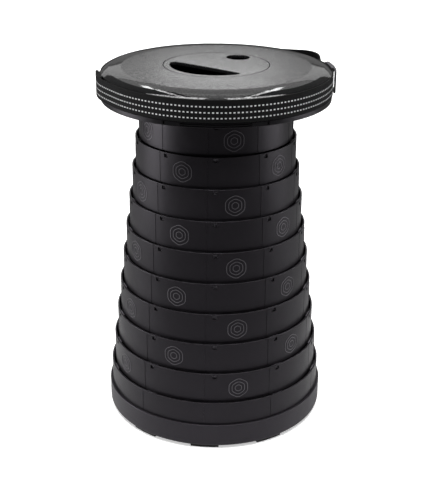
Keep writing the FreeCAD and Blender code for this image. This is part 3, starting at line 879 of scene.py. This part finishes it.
class STOOL_OT_stage(bpy.types.Operator):
    """Sets up the plain floor, the soft studio lights and the camera"""

    bl_idname = "stool.stage"
    bl_label = "Stage"

    def execute(self, context):
        settings = context.scene.stool_stage
        self.make_floor()
        self.make_world(settings.world_strength)
        for light in LIGHTS:
            self.make_light(*light)
        self.make_camera(settings.lens)
        context.scene.view_settings.view_transform = "Standard"
        return {"FINISHED"}

    def make_floor(self):
        bpy.ops.object.select_all(action="DESELECT")
        bpy.ops.mesh.primitive_plane_add(size=FLOOR_SIZE, location=(0, 0, 0))
        floor = bpy.context.object
        floor.name = "floor"
        material, tree, shader, coordinates = new_material("floor_paper")
        vector = coordinates["Object"]
        camera_ray = tree.nodes.new("ShaderNodeLightPath").outputs["Is Camera Ray"]
        darker, lighter = FLOOR_SEEN
        seen = mix(tree, noise(tree, vector, 3.0), (darker,) * 3, (lighter,) * 3)
        # Painted light for reflections: the floor is painted lighter near the stool and darker far from
        # it.
        near = use_group(tree, "Round Zone", vector, radius=0.13, softness=0.32)
        far = use_group(tree, "Round Zone", vector, radius=0.6, softness=1.1)
        lit = mix(tree, near["Mask"], (FLOOR_NEAR,) * 3, (FLOOR_AROUND,) * 3)
        lit = mix(tree, far["Mask"], lit, (FLOOR_FAR,) * 3)
        tree.links.new(mix(tree, camera_ray, lit, seen), shader.inputs["Base Color"])
        shader.inputs["Emission Color"].default_value = (1, 1, 1, 1)
        glow = maths(tree, "MULTIPLY", camera_ray, FLOOR_GLOW)
        tree.links.new(glow, shader.inputs["Emission Strength"])
        shader.inputs["Roughness"].default_value = 0.9
        shader.inputs["Specular IOR Level"].default_value = 0.1
        floor.data.materials.append(material)

    def make_world(self, strength):
        world = bpy.data.worlds.new("studio")
        world.use_nodes = True
        tree = world.node_tree
        shade = tree.nodes["Background"]
        shade.inputs["Color"].default_value = (1, 1, 1, 1)
        camera_ray = tree.nodes.new("ShaderNodeLightPath").outputs["Is Camera Ray"]
        seen = maths(tree, "MULTIPLY_ADD", camera_ray, BACKDROP_GLOW, strength)
        tree.links.new(seen, shade.inputs["Strength"])
        bpy.context.scene.world = world

    def make_light(self, name, location, target, width, height, power, spread):
        light = bpy.data.lights.new(name, "AREA")
        light.shape = "RECTANGLE"
        light.size = width
        light.size_y = height
        light.energy = power
        light.spread = math.radians(spread)
        lamp = bpy.data.objects.new(name, light)
        lamp.location = location
        aim = Vector(target) - Vector(location)
        lamp.rotation_euler = aim.to_track_quat("-Z", "Y").to_euler()
        bpy.context.scene.collection.objects.link(lamp)

    def make_camera(self, lens):
        pitch = math.radians(CAMERA_PITCH)
        yaw = math.radians(CAMERA_YAW)
        roll = math.radians(CAMERA_ROLL)
        level = math.cos(pitch)
        forward = Vector((math.sin(yaw) * level, math.cos(yaw) * level, -math.sin(pitch)))
        right = forward.cross(Vector((0, 0, 1))).normalized()
        up = right.cross(forward)
        across = math.cos(roll) * right - math.sin(roll) * up
        upward = math.sin(roll) * right + math.cos(roll) * up
        camera = bpy.data.cameras.new("camera")
        camera.lens = lens
        camera.sensor_width = SENSOR_WIDTH
        camera.clip_start = 0.05
        holder = bpy.data.objects.new("camera", camera)
        turn = Matrix((across, upward, -forward)).transposed().to_4x4()
        holder.matrix_world = Matrix.Translation(CAMERA_PLACE) @ turn
        bpy.context.scene.collection.objects.link(holder)
        bpy.context.scene.camera = holder


class STOOL_PT_panel(bpy.types.Panel):
    """Lists the stool's pieces in the sidebar"""

    bl_label = "Telescopic Stool"
    bl_idname = "STOOL_PT_panel"
    bl_space_type = "VIEW_3D"
    bl_region_type = "UI"
    bl_category = "Stool"

    def draw(self, context):
        for operator in OPERATORS:
            self.layout.operator(operator.bl_idname)
        for group in SETTINGS:
            settings = getattr(context.scene, group)
            for name in settings.bl_rna.properties.keys():
                if name not in ("rna_type", "name"):
                    self.layout.prop(settings, name)


SETTINGS = {
    "stool_rings": RingSettings,
    "stool_seat": SeatSettings,
    "stool_strap": StrapSettings,
    "stool_stage": StageSettings,
}
OPERATORS = (
    STOOL_OT_rings, STOOL_OT_figures, STOOL_OT_base, STOOL_OT_seat, STOOL_OT_strap, STOOL_OT_slider,
    STOOL_OT_stage,
)


def register():
    for group in SETTINGS.values():
        bpy.utils.register_class(group)
    for operator in OPERATORS:
        bpy.utils.register_class(operator)
    bpy.utils.register_class(STOOL_PT_panel)
    for name, group in SETTINGS.items():
        setattr(bpy.types.Scene, name, bpy.props.PointerProperty(type=group))


def unregister():
    for name in SETTINGS:
        delattr(bpy.types.Scene, name)
    bpy.utils.unregister_class(STOOL_PT_panel)
    for operator in reversed(OPERATORS):
        bpy.utils.unregister_class(operator)
    for group in reversed(list(SETTINGS.values())):
        bpy.utils.unregister_class(group)


def main():
    register()
    bpy.ops.stool.stage()
    bpy.ops.stool.rings()
    bpy.ops.stool.figures()
    bpy.ops.stool.base()
    bpy.ops.stool.seat()
    bpy.ops.stool.strap()
    bpy.ops.stool.slider()


if __name__ == "__main__":
    main()
